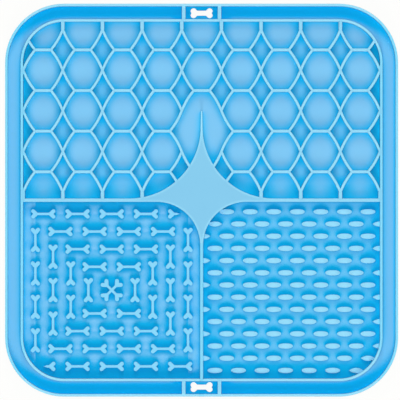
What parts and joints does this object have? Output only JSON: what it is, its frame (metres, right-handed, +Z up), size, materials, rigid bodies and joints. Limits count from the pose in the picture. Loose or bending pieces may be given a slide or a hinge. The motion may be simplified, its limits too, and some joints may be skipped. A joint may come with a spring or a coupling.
{
  "type": "lick mat",
  "caption": "Square silicone lick mat with a rounded rim, spill channel, honeycomb ribs, bone and grain nubs, a star divider, hang slots and suction cups underneath.",
  "frame": {"origin": "under the middle of the mat, on the plane of the suction cup lips", "axes": "+X to the right and +Y to the honeycomb side, as seen from above; +Z up through the mat"},
  "size_m": [0.2, 0.2, 0.013],
  "materials": {
    "blue_silicone": "matte, slightly translucent moulded silicone"
  },
  "bodies": {
    "root": {"floor_panel": "blue_silicone", "channel_floor": "blue_silicone", "hang_tabs": "blue_silicone", "outer_rim": "blue_silicone", "inner_wall": "blue_silicone", "short_ribs": "blue_silicone", "cross_wall": "blue_silicone", "lower_wall": "blue_silicone", "star_divider": "blue_silicone", "honeycomb_level_ribs": "blue_silicone", "honeycomb_rising_ribs": "blue_silicone", "honeycomb_falling_ribs": "blue_silicone", "honeycomb_crossings": "blue_silicone", "honeycomb_top_stubs": "blue_silicone", "honeycomb_bottom_stubs": "blue_silicone", "bone_rows": "blue_silicone", "bone_columns": "blue_silicone", "half_bones": "blue_silicone", "crossed_bones": "blue_silicone", "grain_nubs": "blue_silicone", "wall_grain_nubs": "blue_silicone", "suction_cups": "blue_silicone"}
  },
  "joints": []
}
